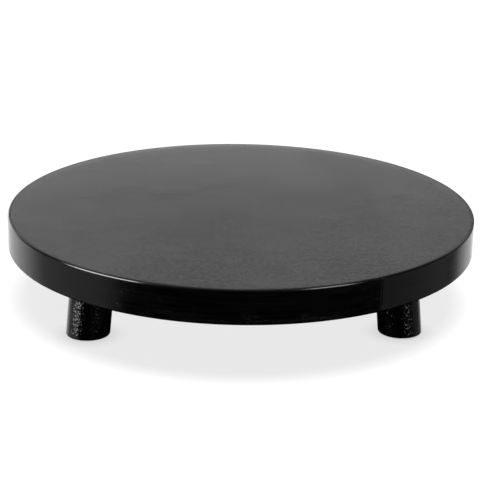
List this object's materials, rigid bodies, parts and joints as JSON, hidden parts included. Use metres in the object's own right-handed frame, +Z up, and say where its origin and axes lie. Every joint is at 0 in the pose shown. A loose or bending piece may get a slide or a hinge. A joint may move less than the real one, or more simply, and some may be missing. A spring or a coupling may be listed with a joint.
{
  "type": "serving tray",
  "caption": "Low round serving tray: a thick black-lacquered, edge-banded disc standing on short legs that splay outwards.",
  "frame": {"origin": "on the tabletop under the centre of the round board, level with the undersides of the foot pads", "axes": "+Z up, -Y towards the front, where the gap between the two front legs is; +X to the right seen from the front"},
  "size_m": [0.3, 0.3, 0.064],
  "materials": {
    "core_board": "raw fibreboard, hidden under the veneers and the lipping",
    "top_lacquer": "black satin lacquer over fine-grained veneer",
    "edge_lacquer": "black satin lacquer with a slight orange peel",
    "leg_lacquer": "black satin lacquer over turned wood whose pores still show",
    "zinc_steel": "bright zinc plating",
    "insert_brass": "plain turned brass",
    "pad_rubber": "matt black anti-slip rubber"
  },
  "bodies": {
    "root": {"core_panel": "core_board", "top_veneer": "top_lacquer", "underside_veneer": "edge_lacquer", "edge_band": "edge_lacquer", "leg_front_left": "leg_lacquer", "leg_front_right": "leg_lacquer", "leg_back": "leg_lacquer", "hanger_bolt_front_left": "zinc_steel", "hanger_bolt_front_right": "zinc_steel", "hanger_bolt_back": "zinc_steel", "threaded_insert_front_left": "insert_brass", "threaded_insert_front_right": "insert_brass", "threaded_insert_back": "insert_brass", "foot_pad_front_left": "pad_rubber", "foot_pad_front_right": "pad_rubber", "foot_pad_back": "pad_rubber"}
  },
  "joints": []
}
